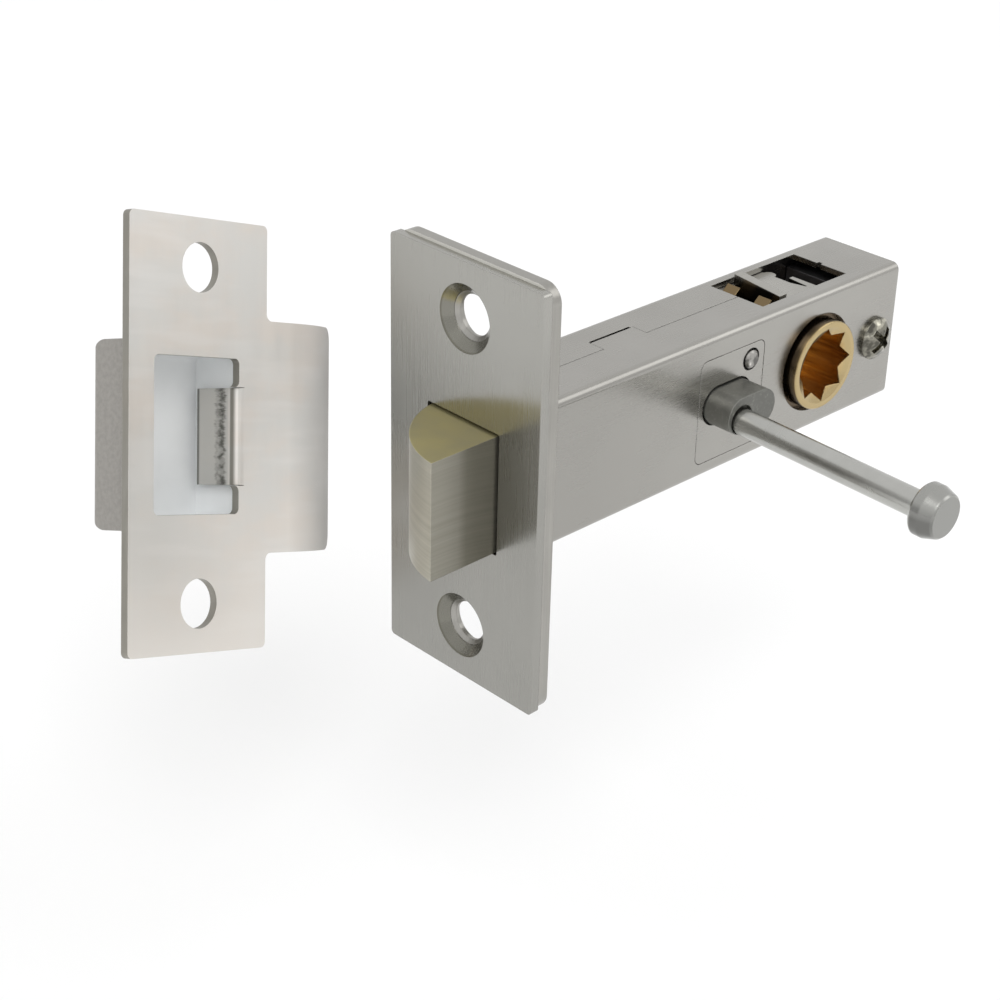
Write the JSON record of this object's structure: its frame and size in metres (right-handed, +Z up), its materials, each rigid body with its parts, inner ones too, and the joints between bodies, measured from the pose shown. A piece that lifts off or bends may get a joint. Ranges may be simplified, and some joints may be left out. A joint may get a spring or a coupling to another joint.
{
  "type": "tubular mortice latch with privacy snib and strike",
  "caption": "Tubular mortice latch with a sprung bevel bolt, star spindle hub, push-through privacy snib, and a lipped strike plate with dust box.",
  "frame": {"origin": "centre of the face plate's front face, on the bolt's centre line", "axes": "+X into the door along the case, +Z up along the face plate, -Y the side the snib pin stands out on"},
  "size_m": [0.1103, 0.095, 0.0627],
  "materials": {
    "satin_plate": "satin, fine brushed",
    "satin_edge": "satin, sheared edge",
    "case_steel": "drawn sheet, satin",
    "block_steel": "dark phosphated",
    "screw_steel": "machined",
    "bolt_steel": "ground, arc marks",
    "spring_wire": "drawn wire",
    "sheet_steel": "stamped sheet",
    "brass": "machined, bright",
    "zinc": "die cast, dull",
    "pin_steel": "turned, satin",
    "strike_steel": "satin, swirl polish",
    "pale_plastic": "moulded, translucent white"
  },
  "bodies": {
    "case": {"face_plate": "satin_plate", "forend_plate": "satin_edge", "case_tube": "case_steel", "end_block": "block_steel", "case_screw": "screw_steel", "case_nut": "screw_steel", "bolt_spring": "spring_wire", "spring_post": "screw_steel", "snib_cover": "case_steel", "snib_housing": "zinc", "housing_rivet": "screw_steel", "detent_ball": "screw_steel", "detent_spring": "spring_wire"},
    "bolt": {"latch_bolt": "bolt_steel"},
    "retractor": {"upper_retractor": "sheet_steel", "lower_retractor": "sheet_steel"},
    "hub": {"hub_near": "brass", "hub_far": "brass"},
    "snib": {"snib_slider": "zinc", "snib_pin": "pin_steel"},
    "strike": {"strike_plate": "strike_steel", "dust_box": "pale_plastic"}
  },
  "joints": [
    {"name": "bolt_slide", "type": "slide", "parent": "case", "child": "bolt", "axis": [1, 0, 0], "range_m": [0, 0.0106], "stiffness_N_per_m": 400, "springref_m": -0.012, "deforming": ["bolt_spring"]},
    {"name": "retractor_slide", "type": "slide", "parent": "case", "child": "retractor", "axis": [1, 0, 0], "range_m": [0, 0.0107]},
    {"name": "hub_turn", "type": "hinge", "parent": "case", "child": "hub", "pos_m": [0.06, 0, 0], "axis": [0, 1, 0], "range_deg": [0, 60.2]},
    {"name": "snib_slide", "type": "slide", "parent": "case", "child": "snib", "axis": [0, 1, 0], "range_m": [0, 0.0044]},
    {"name": "strike_apart", "type": "slide", "parent": "case", "child": "strike", "axis": [-0.1988, 0.9354, -0.2924], "range_m": [0, 0.02]}
  ],
  "couplings": [
    {"joint": "retractor_slide", "follows": "bolt_slide", "ratio": 1},
    {"joint": "hub_turn", "follows": "bolt_slide", "rad_per_m": 98.792}
  ]
}
